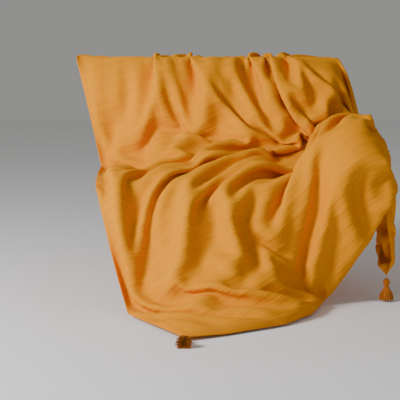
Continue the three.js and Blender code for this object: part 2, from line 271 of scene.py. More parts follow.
def held_places(spacing, front, left, top):
    """How firmly each point is held, and where: the hems, the pleats on the back's top and the corners."""
    along, across = cloth_grid(spacing)
    hold = np.zeros(along.shape, np.float32)
    where = np.zeros((3, *along.shape), np.float32)
    where[:, :, 0], hold[:, 0] = place(FRONT_HEM, along[:, 0]).T, front
    where[:, 0, :], hold[0, :] = place(LEFT_HEM, across[0]).T, np.maximum(hold[0, :], left)
    strip = across[0] <= STRIP_LENGTH
    where[:, -1, strip], hold[-1, strip] = place(SIDE_HEM, across[0, strip]).T, front
    for i, a in enumerate(along[:, 0]):
        if 0 < a <= BACK_TOP_PLEATS[-1, 0]:
            j = round(float(back_top_reach(a)) / spacing)
            where[:, i, j], hold[i, j] = (np.interp(a, *BACK_TOP_PLEATS.T), *PLEAT_HELD), top
    end = along[:, 0] >= REAR_HEM_END[0, 0]
    where[:, end, -1], hold[end, -1] = place(REAR_HEM_END, along[end, 0]).T, left
    end = across[0] >= SIDE_HEM_END[0, 0]
    where[:, -1, end], hold[-1, end] = place(SIDE_HEM_END, across[0, end]).T, left
    hold[-1, -1] = 1
    return hold[None], where


# ---- the folds, pressed in along listed lines

VIEWPOINT = np.array([0.0386, -4.27, 0.43], np.float32)  # the camera's place
FOLD_HALF_WIDTH = 0.021

# Each fold as it is seen from the front: how deep it is, then the points it runs through, as x and z
# where the line of sight crosses the plane of the seat's front edge.
VALLEYS = [
    (.9, [(-.12, .43), (-.15, .37), (-.2, .32), (-.23, .25), (-.26, .19)]),
    (1, [(.01, .44), (.01, .35), (0, .25), (-.04, .17), (-.11, .11), (-.17, .05), (-.2, .01), (-.19, -.06),
           (-.14, -.16), (-.13, -.23)]),
    (1, [(.19, .42), (.16, .35), (.14, .27), (.11, .2), (.07, .14), (.02, .08), (-.02, .06)]),
    (.6, [(.23, .44), (.22, .38), (.2, .3), (.19, .25)]),
    (.6, [(.28, .44), (.26, .37), (.24, .31)]),
    (.8, [(.34, .45), (.34, .38), (.32, .28), (.28, .2), (.22, .14)]),
    (1, [(.47, .37), (.42, .27), (.37, .2), (.3, .14), (.22, .1), (.11, .05)]),
    (1, [(.53, .4), (.51, .3), (.47, .2), (.41, .13), (.33, .08), (.26, .03), (.2, -.03), (.18, -.11),
           (.21, -.19)]),
    (1, [(.6, .26), (.54, .225), (.48, .18), (.43, .125), (.35, .08)]),
    (.9, [(.11, .04), (.07, .01), (.05, -.03), (.07, -.08), (.06, -.15), (.03, -.25), (0, -.34), (-.06, -.41),
           (-.14, -.47)]),
    (1, [(.42, .08), (.33, .03), (.3, -.03), (.26, -.12), (.23, -.21), (.2, -.31), (.14, -.41),
           (.07, -.46)]),
    (.9, [(.52, .05), (.44, -.06), (.41, -.12), (.4, -.23), (.36, -.33)]),
    (1.2, [(.68, .045), (.65, .072), (.61, .085), (.59, .04), (.595, -.015), (.61, -.09), (.62, -.15)]),
]
RIDGES = [
    (.8, [(-.06, .43), (-.09, .31), (-.15, .2), (-.23, .11)]),
    (.8, [(.08, .43), (.07, .31), (.05, .2), (-.03, .11)]),
    (.6, [(.15, .43), (.11, .31), (.08, .25)]),
    (.8, [(.31, .43), (.28, .31), (.22, .2), (.14, .12), (.04, .08)]),
    (.8, [(.38, .41), (.37, .29), (.31, .2), (.23, .14)]),
    (.8, [(.49, .4), (.46, .27), (.38, .17), (.28, .09), (.13, .06)]),
    (.8, [(.57, .21), (.53, .19), (.5, .15), (.45, .1), (.37, .055), (.23, 0), (.15, -.05)]),
    (1, [(-.02, .01), (-.03, -.11), (-.03, -.23), (-.06, -.34)]),
    (1, [(.11, .01), (.13, -.11), (.15, -.23), (.11, -.34), (.03, -.42)]),
    (1, [(.28, -.08), (.25, -.19), (.27, -.28), (.2, -.39)]),
    (.9, [(.49, -.02), (.46, -.12), (.43, -.25)]),
    (1.3, [(.55, -.02), (.53, .015), (.52, .06), (.57, .1), (.605, .12), (.64, .106), (.67, .086),
           (.7, .063)]),
    (.9, [(.55, -.02), (.57, -.08), (.59, -.13), (.605, -.21)]),
    (.6, [(-.26, 0), (-.25, -.15), (-.2, -.26)]),
]

FOLD_RELIEF = 0.060  # how far a full ridge stands out of the smooth lay, and a valley sinks in
FOLD_LIFT = 0.030  # the whole cloth stands off the sofa by this among the folds
DEEPEST, HIGHEST = -1.3, 1.2  # the most that crossing valleys and ridges add up to
FOLDS_BEHIND = 0.02  # the folds end this far behind the back's top edge
HEM_FADE = 0.08  # they fade out this near the left hem
FLOOR_FADE = 0.15  # the lift grows to its full height this far above the floor
FLOOR_LIFT = 0.6  # the share of it on the floor
END_X, END_Y = 0.63, 0.12  # behind this y, the folds end at this x
END_FADE = 0.08  # and fade out this near it


def line_distance(x, z, line):
    """The distance from each point to a line of several stretches."""
    best = np.full(x.shape, np.inf)
    for (x0, z0), (x1, z1) in zip(line[:-1], line[1:]):
        dx, dz = x1 - x0, z1 - z0
        t = np.clip(((x - x0) * dx + (z - z0) * dz) / (dx * dx + dz * dz), 0, 1)
        best = np.minimum(best, np.hypot(x - x0 - t * dx, z - z0 - t * dz))
    return best


def fold_relief(points):
    """How far each point of the smooth lay stands out, in metres: ridges out, valleys in."""
    sight = points - VIEWPOINT[:, None, None]
    scale = (SEAT_FRONT_Y - VIEWPOINT[1]) / sight[1]
    x, z = VIEWPOINT[0] + sight[0] * scale, VIEWPOINT[2] + sight[2] * scale
    relief = np.zeros_like(x)
    for sign, folds in ((-1, VALLEYS), (1, RIDGES)):
        for depth, line in folds:
            near = line_distance(x, z, line) / FOLD_HALF_WIDTH
            relief += sign * depth * (np.exp(-near) if sign < 0 else np.exp(-near * near))
    in_front = points[1] < BACK_TOP[1] + FOLDS_BEHIND
    from_left = np.linspace(0, WIDTH, points.shape[1])[:, None]
    off_the_hem = np.clip(from_left / HEM_FADE, 0, 1)
    off_the_floor = np.clip((points[2] - FLOOR_Z) / FLOOR_FADE, FLOOR_LIFT, 1)
    off_the_end = np.where(points[1] > END_Y, np.clip((END_X - points[0]) / END_FADE, 0, 1), 1)
    out = np.clip(relief, DEEPEST, HIGHEST) * FOLD_RELIEF + FOLD_LIFT * off_the_floor
    return out * in_front * off_the_hem * off_the_end


def lengths(vectors):
    """The length of each vector, and never quite 0."""
    return np.sqrt((vectors * vectors).sum(0)) + np.float32(1e-9)


def face_normals(points):
    """The cloth's upper normal at each point of its grid."""
    along = np.gradient(points, axis=1)
    across = np.gradient(points, axis=2)
    normal = np.cross(along, across, axis=0)
    return normal / lengths(normal)


HAND_LIMIT = 40.0  # the hands' strongest pull, in metres per second squared


class Hands:
    """Holds the cloth near its folded shape: firmly across the cloth, loosely along it."""

    def __init__(self, lay, normals, across, along):
        self.lay, self.normals = lay.astype(np.float32), normals.astype(np.float32)
        self.across, self.along = np.float32(across), np.float32(along)

    def pull(self, points):
        """The hands' pull on each point, in metres per second squared."""
        off = self.lay - points
        out = self.normals * (off * self.normals).sum(0)
        pull = out * self.across + (off - out) * self.along
        return np.clip(pull, -HAND_LIMIT, HAND_LIMIT)


# ---- the drape

GRAVITY = 9.8
AREA_WEIGHT = 0.35  # kg per square metre
TOP_SPEED = 3.0
STRETCH = 0.9  # the threads' resistance to stretching, of 1
GRIP = 1.8  # the friction that holds what rests on the sofa and the floor
PAIRS_EVERY = 5  # steps between two searches for layers that are near each other
SIDE_LIMIT_X = 0.735  # the strip outside the arm doesn't swing out past this
REAR_LIMIT_Y = 0.506  # nor the cloth behind the back past this
LIMIT_PULL = 0.3  # the share of the way back to those limits in one step
SKEW_SQUEEZE = 0.6  # the resistance of a shortened diagonal, of a stretched one's
PART_SHARE = 0.25  # the share of an overlap that each layer gives way in one step
NEIGHBOURS = 2  # grid lines within which points count as one layer


def pull_together(points, first, second, rest, pull, push):
    """Moves pairs of points towards their rest distance: pull for stretched pairs, push for close ones."""
    p, q = points[first], points[second]
    gap = q - p
    length = lengths(gap)
    error = (length - rest) / length
    error *= np.where(error > 0, np.float32(0.5 * pull), np.float32(0.5 * push))
    gap *= error
    p += gap
    q -= gap


def keep_size(points, spacing, stretch, squeeze, shear):
    """Keeps the threads at their length, and the weave square."""
    rows, columns = points.shape[1:]
    every = slice(None)
    for before in ((every,), (every, every)):
        count = points.shape[len(before)]
        for o in (0, 1):
            first, second = slice(o, count - 1, 2), slice(o + 1, count, 2)
            pull_together(points, (*before, first), (*before, second), spacing, stretch, squeeze)
    diagonal = np.float32(spacing * math.sqrt(2))
    near, far = slice(0, columns - 1), slice(1, columns)
    for o in (0, 1):
        low, high = slice(o, rows - 1, 2), slice(o + 1, rows, 2)
        for a, b in ((near, far), (far, near)):
            pull_together(points, (every, low, a), (every, high, b), diagonal, shear, shear * SKEW_SQUEEZE)


def straightening(points):
    """The push that straightens a bent cloth, along both thread directions."""
    force = np.zeros_like(points)
    for axis in (1, 2):
        p = np.moveaxis(points, axis, 1)
        f = np.moveaxis(force, axis, 1)
        bend = p[:, 2:] - 2 * p[:, 1:-1] + p[:, :-2]
        f[:, 2:] -= bend
        f[:, 1:-1] += 2 * bend
        f[:, :-2] -= bend
    return force


def close_pairs(points, reach):
    """Pairs of points nearer than the reach that aren't neighbours in the cloth."""
    columns = points.shape[2]
    flat = points.reshape(3, -1)
    cell = np.floor((flat - flat.min(1, keepdims=True)) / reach).astype(np.int64) + 1
    span = cell.max(1) + 2
    key = (cell[0] * span[1] + cell[1]) * span[2] + cell[2]
    order = np.argsort(key, kind="stable")
    ranked = key[order]
    count = len(ranked)
    steps = [(0, 0, 0), (0, 0, 1), (0, 1, -1), (0, 1, 0), (0, 1, 1)]
    steps += [(1, y, z) for y in (-1, 0, 1) for z in (-1, 0, 1)]
    firsts, seconds = [], []
    for step in steps:
        wanted = ranked + (step[0] * span[1] + step[1]) * span[2] + step[2]
        low = np.searchsorted(ranked, wanted, "left")
        high = np.searchsorted(ranked, wanted, "right")
        if step == (0, 0, 0):
            low = np.arange(count) + 1
        found = np.maximum(high - low, 0)
        first = np.repeat(np.arange(count), found)
        start = np.repeat(low - np.concatenate([[0], np.cumsum(found)[:-1]]), found)
        firsts.append(order[first])
        seconds.append(order[start + np.arange(found.sum())])
    first, second = np.concatenate(firsts), np.concatenate(seconds)
    apart = np.abs(first // columns - second // columns) > NEIGHBOURS
    apart |= np.abs(first % columns - second % columns) > NEIGHBOURS
    return first[apart], second[apart]


def keep_apart(points, first, second, reach):
    """Pushes two layers of the cloth apart where they come too near."""
    flat = points.reshape(3, -1)
    gap = flat[:, second] - flat[:, first]
    length = lengths(gap)
    near = length < reach
    first, second, gap, length = first[near], second[near], gap[:, near], length[near]
    gap = gap * ((reach - length) / length * np.float32(PART_SHARE))
    for i in range(3):
        flat[i] -= np.bincount(first, gap[i], flat.shape[1]).astype(np.float32)
        flat[i] += np.bincount(second, gap[i], flat.shape[1]).astype(np.float32)


def rub(points, before, normals, touching, step):
    """Holds what rests on something, except for what slides faster than its grip."""
    moved = points[:, touching] - before[:, touching]
    normal = normals[:, touching]
    rise = (moved * normal).sum(0)
    slide = moved - normal * rise
    length = lengths(slide)
    limit = np.float32(GRIP * GRAVITY * step * step)
    kept = np.where(length < limit, 0, 1 - limit / length)
    points[:, touching] = before[:, touching] + normal * rise + slide * kept


def keep_out(points, blocks, gap):
    """Moves the cloth out of the sofa, the floor and the limits; gives the normal where it touches."""
    normals = np.zeros_like(points)
    flat, flat_normals = points.reshape(3, -1), normals.reshape(3, -1)
    for block in blocks:
        block.push_out(flat, np.float32(gap), flat_normals)
    for axis, limit in ((0, SIDE_LIMIT_X), (1, REAR_LIMIT_Y)):
        nearer = (1 - LIMIT_PULL) * points[axis] + np.float32(LIMIT_PULL * limit)
        points[axis] = np.where(points[axis] > limit, nearer, points[axis])
    floor = np.float32(FLOOR_Z + gap)
    on_floor = points[2] < floor
    points[2] = np.where(on_floor, floor, points[2])
    normals[:, on_floor] = np.array([0, 0, 1], np.float32)[:, None]
    return normals


def drape(points, settle, blocks, hands):
    """Lets the cloth fall and settle on the sofa and the floor."""
    points = points.copy()
    speed = np.zeros_like(points)
    step = 1 / settle.rate
    bend = np.float32(settle.stiffness / settle.spacing ** 4 / AREA_WEIGHT)
    weight = np.array([0, 0, -GRAVITY], np.float32)[:, None, None]
    firmness, where = held_places(settle.spacing, *settle.held)
    first = second = np.zeros(0, int)
    for n in range(settle.steps):
        force = weight + bend * straightening(points) + hands.pull(points)
        speed = (speed + np.float32(step) * force) * np.float32(settle.damping)
        before = points
        points = before + np.float32(step) * np.clip(speed, -TOP_SPEED, TOP_SPEED)
        squeeze = np.interp(n, [0, settle.steps], settle.squeeze)
        keep_size(points, np.float32(settle.spacing), STRETCH, squeeze, settle.shear)
        if n % PAIRS_EVERY == 0:
            first, second = close_pairs(points, settle.apart)
        keep_apart(points, first, second, np.float32(settle.apart))
        points += firmness * (where - points)
        normals = keep_out(points, blocks, settle.gap)
        touching = (normals != 0).any(0)
        if touching.any():
            rub(points, before, normals, touching, step)
        speed = (points - before) / np.float32(step)
    return points


def cubic(values, places, axis):
    """The values at places between the grid's lines, on a smooth curve through them."""
    values = np.moveaxis(values, axis, -1)
    i = np.clip(np.floor(places).astype(int), 0, values.shape[-1] - 2)
    t = (places - i).astype(np.float32)
    first = 2 * values[..., :1] - values[..., 1:2]
    last = 2 * values[..., -1:] - values[..., -2:-1]
    v = np.concatenate([first, values, last], -1)
    a, b, c, d = v[..., i], v[..., i + 1], v[..., i + 2], v[..., i + 3]
    out = b + 0.5 * t * (c - a + t * (2 * a - 5 * b + 4 * c - d + t * (3 * (b - c) + d - a)))
    return np.moveaxis(out, -1, axis)


def resample(points, short, long):
    """The cloth at any distances along its two edges."""
    rows, columns = points.shape[1:]
    points = cubic(points, short * ((rows - 1) / WIDTH), 1)
    return np.ascontiguousarray(cubic(points, long * ((columns - 1) / LENGTH), 2).astype(np.float32))


def finer(points, spacing):
    """The same cloth on a finer grid."""
    along, across = cloth_grid(spacing)
    return resample(points, along[:, 0], across[0])


def pushed_out(points, blocks, gap):
    """The cloth moved out of the sofa wherever it is inside."""
    flat = points.reshape(3, -1)
    for block in blocks:
        block.push_out(flat, gap, np.zeros_like(flat))
    points[2] = np.maximum(points[2], FLOOR_Z + gap)
    return points


def folded_lay(spacing, blocks):
    """The first lay with its folds pressed in, and its upper normals before they were."""
    points = pushed_out(first_lay(spacing), blocks, LAY_GAP)
    normals = face_normals(points)
    lay = pushed_out(points + normals * fold_relief(points), blocks, LAY_GAP)
    return lay.astype(np.float32), normals


class Pass(NamedTuple):
    """One settling of the cloth, on a grid of its own."""
    spacing: float  # the grid's
    steps: int
    rate: int  # steps in a second
    stiffness: float  # against bending
    gap: float  # from the sofa and the floor
    held: tuple  # how firmly the front, left and top places are held, of 1
    damping: float  # the speed that is left after each step, of 1
    squeeze: tuple  # the threads' resistance to squeezing, at the start and the end
    shear: float  # the weave's resistance to skewing
    apart: float  # the least distance between two layers
    firmness: tuple  # the hands', across the cloth and along it


PASSES = [
    Pass(0.025, 400, 500, 2e-4, 0.006, (0.5, 0.5, 0.5), 0.985, (0, 0.05), 0.1, 0.018, (900, 400)),
    Pass(0.0125, 400, 700, 6e-5, 0.004, (0.4, 0.3, 0.3), 0.99, (0, 0.3), 0.2, 0.011, (500, 150)),
    Pass(0.00625, 150, 1000, 2e-5, 0.003, (0.4, 0.3, 0.3), 0.99, (0.3, 0.3), 0.2, 0.0055, (500, 150)),
]


def draped_cloth():
    """Lays the cloth with its folds, then lets it settle pass by pass."""
    blocks = sofa_blocks()
    points = None
    for settle in PASSES:
        lay, normals = folded_lay(settle.spacing, blocks)
        start = lay if points is None else finer(points, settle.spacing)
        points = drape(start, settle, blocks, Hands(lay, normals, *settle.firmness))
    return points


# ---- meshes

def placed(name, data):
    """A new object in the scene."""
    obj = bpy.data.objects.new(name, data)
    bpy.context.scene.collection.objects.link(obj)
    return obj


class Form:
    """Gathers the points and faces of one piece."""

    def __init__(self):
        self.points, self.faces, self.count = [], [], 0

    def add(self, points, faces):
        """Adds a part of the piece; its faces number its own points from 0."""
        self.points.append(np.asarray(points, float))
        self.faces.extend([tuple(i + self.count for i in face) for face in faces])
        self.count += len(points)

    def tube(self, path, radius, sides=6):
        """A round tube along a path, closed at both ends, of one radius or one for each point."""
        path = np.asarray(path, float)
        radii = np.broadcast_to(radius, len(path))
        ahead = np.gradient(path, axis=0)
        ahead /= np.linalg.norm(ahead, axis=1, keepdims=True) + 1e-12
        start = np.eye(3)[np.argmin(np.abs(ahead[0]))]
        rings = []
        for centre, way, r in zip(path, ahead, radii):
            start = start - way * (start @ way)
            start /= np.linalg.norm(start)
            other = np.cross(way, start)
            turn = np.arange(sides) * (math.tau / sides)
            rings.append(centre + r * (np.outer(np.cos(turn), start) + np.outer(np.sin(turn), other)))
        last = (len(path) - 1) * sides
        faces = [tuple(reversed(range(sides))), tuple(range(last, last + sides))]
        for n in range(len(path) - 1):
            for k in range(sides):
                a, b = n * sides + k, n * sides + (k + 1) % sides
                faces.append((a, b, b + sides, a + sides))
        self.add(np.vstack(rings), faces)

    def piece(self, name, material, slot):
        """The finished object, smooth, with its material; its slot in the record is not used."""
        mesh = bpy.data.meshes.new(name)
        mesh.from_pydata(np.vstack(self.points).tolist(), [], self.faces)
        mesh.polygons.foreach_set("use_smooth", [True] * len(mesh.polygons))
        mesh.materials.append(material)
        obj = placed(name, mesh)
        return obj


# across the hem: the distance from the edge, and half the thickness there
HEM_PROFILE = np.array([
    (0, 0.0007), (0.0015, 0.0017), (0.005, HALF_HEM), (STITCH_INSET - 0.004, HALF_HEM),
    (STITCH_INSET, 0.0012), (HEM, 0.0017), (HEM + 0.002, HALF_CLOTH),
])
HEM_LINES = np.array([0, 0.0015, 0.005, 0.0135, STITCH_INSET, HEM, HEM + 0.002])
RIB_FADE = 0.004  # the ribs sink into the side hems over this length
SURFACE_STEP = 0.008  # the widest gap between two lines of the grid


def edge_thickness(short, long):
    """Half the cloth's thickness at each grid point: the hem is folded, and drawn in along its stitches."""
    from_short = np.minimum(short, WIDTH - short)[:, None]
    from_long = np.minimum(long, LENGTH - long)[None, :]
    return np.interp(np.minimum(from_short, from_long), *HEM_PROFILE.T)


def grid_lines(size, spacing, ribs=()):
    """Lines across the cloth: close in the hems, three at each rib, and even elsewhere."""
    lines = list(HEM_LINES) + list(size - HEM_LINES)
    for rib in ribs:
        lines += [rib - RIB_HALF_WIDTH, rib, rib + RIB_HALF_WIDTH]
    lines = sorted(lines)
    filled = []
    for low, high in zip(lines[:-1], lines[1:]):
        steps = max(1, math.ceil((high - low) / spacing - 0.01))
        filled += list(np.linspace(low, high, steps, endpoint=False))
    return np.array(filled + [lines[-1]])


def rib_places(rng):
    """Where the raised weft ribs lie along the cloth: groups of two or three."""
    ribs = []
    middle = HEM + RIB_GROUP_PITCH / 2
    while middle < LENGTH - HEM - 2 * RIB_PITCH:
        count = int(rng.integers(2, 4))
        ribs += [middle + (k - (count - 1) / 2) * RIB_PITCH for k in range(count)]
        middle += RIB_GROUP_PITCH * (1 + 0.06 * rng.uniform(-1, 1))
    return ribs


def surface(points, normals, short, long):
    """The cloth's middle and its upper normal along any lines."""
    normal = resample(normals, short, long)
    return resample(points, short, long), normal / lengths(normal)


def sheet_faces(rows, columns, start, flip):
    """The faces of one side of the cloth."""
    i, j = np.meshgrid(np.arange(rows - 1), np.arange(columns - 1), indexing="ij")
    k = (start + i * columns + j).ravel()
    corners = np.stack([k, k + columns, k + columns + 1, k + 1], 1)
    return (corners[:, ::-1] if flip else corners).tolist()


def rim_faces(rows, upper, under, start):
    """The faces that close the cloth's four edges; its upper side has more lines than its underside."""
    columns, fewer = len(upper), len(under)
    match = np.searchsorted(upper, under)
    faces = []
    for row, flip in ((0, False), (rows - 1, True)):
        for j in range(fewer - 1):
            top = [row * columns + k for k in range(match[j], match[j + 1] + 1)]
            face = top + [start + row * fewer + j + 1, start + row * fewer + j]
            faces.append(face[::-1] if flip else face)
    for top, low, flip in ((0, 0, True), (columns - 1, fewer - 1, False)):
        for i in range(rows - 1):
            face = [i * columns + top, (i + 1) * columns + top,
                    start + (i + 1) * fewer + low, start + i * fewer + low]
            faces.append(face[::-1] if flip else face)
    return faces


def throw_piece(points, normals, material, rng):
    """The cloth: two faces, a folded hem all round, and raised ribs woven across its upper face."""
    ribs = np.array(rib_places(rng))
    short = grid_lines(WIDTH, SURFACE_STEP)
    upper = grid_lines(LENGTH, SURFACE_STEP, ribs)
    under = grid_lines(LENGTH, SURFACE_STEP)
    under = np.unique(upper[np.abs(upper[:, None] - under).argmin(0)])
    under = np.array([0.0] + [b for b in under if b not in (0.0, LENGTH)] + [LENGTH])
    is_rib = np.isclose(upper[:, None], ribs, atol=1e-9).any(1)
    from_edge = np.minimum(short, WIDTH - short)[:, None]
    rib_rise = RIB_HEIGHT * is_rib[None, :] * np.clip((from_edge - HEM) / RIB_FADE, 0, 1)
    middle, normal = surface(points, normals, short, upper)
    top = middle + normal * (edge_thickness(short, upper) + rib_rise)
    middle, normal = surface(points, normals, short, under)
    bottom = middle - normal * edge_thickness(short, under)
    form = Form()
    start = len(short) * len(upper)
    faces = sheet_faces(len(short), len(upper), 0, False)
    faces += sheet_faces(len(short), len(under), start, True)
    faces += rim_faces(len(short), upper, under, start)
    form.add(np.vstack([top.reshape(3, -1).T, bottom.reshape(3, -1).T]), faces)
    throw = form.piece("throw", material, "cotton_cloth")
    write_cloth_places(throw.data, short, upper, under, rib_rise > 0)
    return throw


def note(mesh, name, values):
    """Writes a value, or a place, for each point of the mesh."""
    values = np.asarray(values, np.float32)
    kind, field = ("FLOAT_VECTOR", "vector") if values.ndim == 2 else ("FLOAT", "value")
    mesh.attributes.new(name, kind, "POINT").data.foreach_set(field, values.ravel())


def write_cloth_places(mesh, short, upper, under, raised):
    """Notes where each point lies on the flat cloth, and if it is on a hem, a rib or the underside."""
    places, hems = [], []
    for long in (upper, under):
        a, b = np.meshgrid(short, long, indexing="ij")
        places.append(np.stack([a.ravel(), b.ravel(), np.zeros(a.size)], 1))
        edge = np.minimum(np.minimum(a, WIDTH - a), np.minimum(b, LENGTH - b))
        hems.append((edge < HEM + 0.001).ravel())
    below = len(short) * len(under)
    note(mesh, "flat_place", np.vstack(places))
    note(mesh, "hem", np.concatenate(hems))
    note(mesh, "rib", np.concatenate([raised.ravel(), np.zeros(below)]))
    note(mesh, "under", np.repeat([0.0, 1.0], [raised.size, below]))


# ---- stitching

STITCH_PITCH = 0.0050
STITCH_LENGTH = 0.0034
STITCH_RADIUS = 0.0006
STITCH_END_RADIUS = 0.0003
STITCH_SIDES = 5
STITCH_RISE = 0.0012  # a stitch's middle, from the middle of the cloth
STITCH_DIP = 0.0006  # how far its ends go in
STITCH_GRID = 0.005  # the grid that the stitches are placed on
STITCH_AHEAD = 0.002  # the distance along the hem that gives their direction


def stitch_places(side):
    """The middles of one hem's stitches on the flat cloth, with the step along the hem."""
    on_short = side in ("front", "rear")
    size, other = (WIDTH, LENGTH) if on_short else (LENGTH, WIDTH)
    along = np.arange(STITCH_INSET + STITCH_PITCH, size - STITCH_INSET, STITCH_PITCH)
    inset = STITCH_INSET if side in ("front", "left") else other - STITCH_INSET
    across = np.full_like(along, inset)
    return (along, across, (1, 0)) if on_short else (across, along, (0, 1))


def sample_each(values, a, b):
    """The values at single places on the flat cloth."""
    rows, columns = values.shape[1:]
    u, v = a * ((rows - 1) / WIDTH), b * ((columns - 1) / LENGTH)
    i = np.clip(u.astype(int), 0, rows - 2)
    j = np.clip(v.astype(int), 0, columns - 2)
    s, t = u - i, v - j
    low = values[:, i, j] * (1 - s) + values[:, i + 1, j] * s
    high = values[:, i, j + 1] * (1 - s) + values[:, i + 1, j + 1] * s
    return low * (1 - t) + high * t


def stitching_piece(side, points, normals, material):
    """One hem's line of stitches, on both faces of the cloth."""
    a, b, (da, db) = stitch_places(side)
    fine, fine_normals = finer(points, STITCH_GRID), finer(normals, STITCH_GRID)
    middle = sample_each(fine, a, b)
    ahead = sample_each(fine, a + da * STITCH_AHEAD, b + db * STITCH_AHEAD) - middle
    ahead /= np.linalg.norm(ahead, axis=0)
    normal = sample_each(fine_normals, a, b)
    normal /= np.linalg.norm(normal, axis=0)
    radii = [STITCH_END_RADIUS, STITCH_RADIUS, STITCH_RADIUS, STITCH_END_RADIUS]
    form = Form()
    for face in (1, -1):
        for n in range(len(a)):
            centre = middle[:, n] + normal[:, n] * face * STITCH_RISE
            reach = ahead[:, n] * STITCH_LENGTH / 2
            dip = normal[:, n] * face * STITCH_DIP
            path = [centre - reach - dip, centre - reach * 0.5, centre + reach * 0.5, centre + reach - dip]
            form.tube(path, radii, STITCH_SIDES)
    return form.piece(f"stitches_{side}", material, "sewing_thread")


# ---- tassels

YARN_RADIUS = 0.0012
HEAD_STRANDS = 30
SKIRT_STRANDS = 170
BINDING_TURNS = 5
PLY_RADIUS = 0.00065  # each of the cord's two plies
PLY_OFFSET = 0.0006  # and its distance from the cord's middle
PLY_TURNS = 2
GOLDEN_ANGLE = 2.399963  # from one yarn of the skirt to the next, round the axis
SKIRT_FILL = 0.38  # the power that spreads the yarns from the axis to the outside
KNOT_RADIUS, KNOT_LENGTH, KNOT_THREAD = 0.0014, 0.004, 0.0005
KNOT_TURNS = 3
KNOT_RISE = 0.003  # its top, above the corner


class TasselFrame:
    """A tassel's own directions: how far along its axis from the cord's end, and across it both ways."""

    def __init__(self, name):
        low, high, half = {}, {}, {}
        for part in ("cord", "head", "binding", "skirt"):
            low[part], high[part] = (np.array(c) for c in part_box(f"tassel_{name}_{part}"))
            half[part] = (high[part] - low[part]) / 2
        axis, across = (1, 2) if name == "front" else (2, 1)
        self.eye = (low["head"] + high["head"]) / 2
        self.eye[axis] = eye = low["cord"][axis]
        far_end = (low["skirt"] + high["skirt"]) / 2
        far_end[axis] = low["skirt"][axis]
        self.down = (far_end - self.eye) / np.linalg.norm(far_end - self.eye)
        self.right = np.eye(3)[0]
        self.out = np.eye(3)[across] * (half["head"][across] / half["head"][0])
        # each part's start and end along the axis, and its radius; the head ends where the binding starts
        self.head = (eye - high["head"][axis], eye - high["binding"][axis], half["head"][0])
        self.binding = (eye - high["binding"][axis], eye - low["binding"][axis], half["binding"][0])
        self.skirt = (eye - high["skirt"][axis], eye - low["skirt"][axis], half["skirt"][0])

    def at(self, along, radius, angle):
        """The place at a distance along the axis, a radius from it and an angle round it."""
        along, radius, angle = np.broadcast_arrays(along, radius, angle)
        places = (self.eye + np.multiply.outer(along, self.down)
                  + np.multiply.outer(radius * np.cos(angle), self.right)
                  + np.multiply.outer(radius * np.sin(angle), self.out))
        places[..., 2] = np.maximum(places[..., 2], FLOOR_Z + 1.5 * YARN_RADIUS)
        return places


def tassel_cord(name, shape, material):
    """Two plies of yarn twisted together, from the cloth's corner to the tassel's head."""
    start = cord_top(name) if name != "front" else CORNERS["front"]
    end = shape.at(0.0, 0.0, 0.0)
    t = np.linspace(0, 1, 25)
    middle = start + np.multiply.outer(t, end - start)
    form = Form()
    for ply in (0, math.pi):
        twist = ply + t * math.tau * PLY_TURNS
        sway = np.multiply.outer(np.cos(twist), shape.right) + np.multiply.outer(np.sin(twist), shape.out)
        form.tube(middle + PLY_OFFSET * sway, PLY_RADIUS, 6)
    return form.piece(f"yarn_cord_{name}", material, "tassel_yarn")


def tassel_head(name, shape, material, rng):
    """The ball of the tassel: a core, with yarn looped over it down to the neck."""
    near, neck, radius = shape.head
    form = Form()
    steps = np.linspace(0.04, 1, 12)
    for k in range(HEAD_STRANDS):
        angle = math.tau * k / HEAD_STRANDS + rng.uniform(-0.04, 0.04)
        turn = math.pi * 0.80 * steps
        along = near + radius * (1 - np.cos(turn))
        reach = (radius - YARN_RADIUS) * np.sin(turn)
        along = np.append(along, [neck, neck + 0.006])
        reach = np.append(reach, [shape.binding[2] - 0.0026] * 2)
        swirl = angle + 0.25 * np.linspace(0, 1, len(along)) ** 2
        form.tube(shape.at(along, reach, swirl), YARN_RADIUS * rng.uniform(1.05, 1.25), 6)
    core_turn = np.linspace(0.05, math.pi * 0.85, 9)
    core = shape.at(near + 0.001 + (radius - 0.001) * (1 - np.cos(core_turn)), 0.0, 0.0)
    form.tube(core, (radius - 2 * YARN_RADIUS) * np.sin(core_turn), 16)
    return form.piece(f"yarn_head_{name}", material, "tassel_yarn")


def tassel_binding(name, shape, material):
    """Thread wound round the neck."""
    near, far, radius = shape.binding
    t = np.linspace(0, 1, BINDING_TURNS * 16 + 1)
    yarn = (far - near) / (2 * BINDING_TURNS)
    path = shape.at(near + yarn + t * (far - near - 2 * yarn), radius - yarn, t * math.tau * BINDING_TURNS)
    form = Form()
    form.tube(path, yarn * 1.05, 6)
    return form.piece(f"yarn_binding_{name}", material, "tassel_yarn")


def tassel_skirt(name, shape, material, rng):
    """The hanging yarns, spread from the neck, each a little wavy and a little longer or shorter."""
    near, far, radius = shape.skirt
    neck = shape.binding[2] - 0.003
    form = Form()
    t = np.linspace(0, 1, 9)
    for k in range(SKIRT_STRANDS):
        share = ((k + 0.5) / SKIRT_STRANDS) ** SKIRT_FILL
        angle = k * GOLDEN_ANGLE + rng.uniform(-0.1, 0.1)
        spread = share * rng.uniform(0.93, 1.0)
        flare = np.sin(t * math.pi / 2)
        reach = neck * share * (1 - flare) + (radius - 0.002) * spread * flare
        length = (far - near) * rng.uniform(0.93, 1.0)
        wave = 0.05 * np.sin(t * rng.uniform(5, 9) + rng.uniform(0, 6)) * t
        path = shape.at(near - 0.003 + t * length, reach, angle + wave)
        form.tube(path, YARN_RADIUS * (1.0 - 0.15 * t), 5)
    return form.piece(f"yarn_skirt_{name}", material, "tassel_yarn")


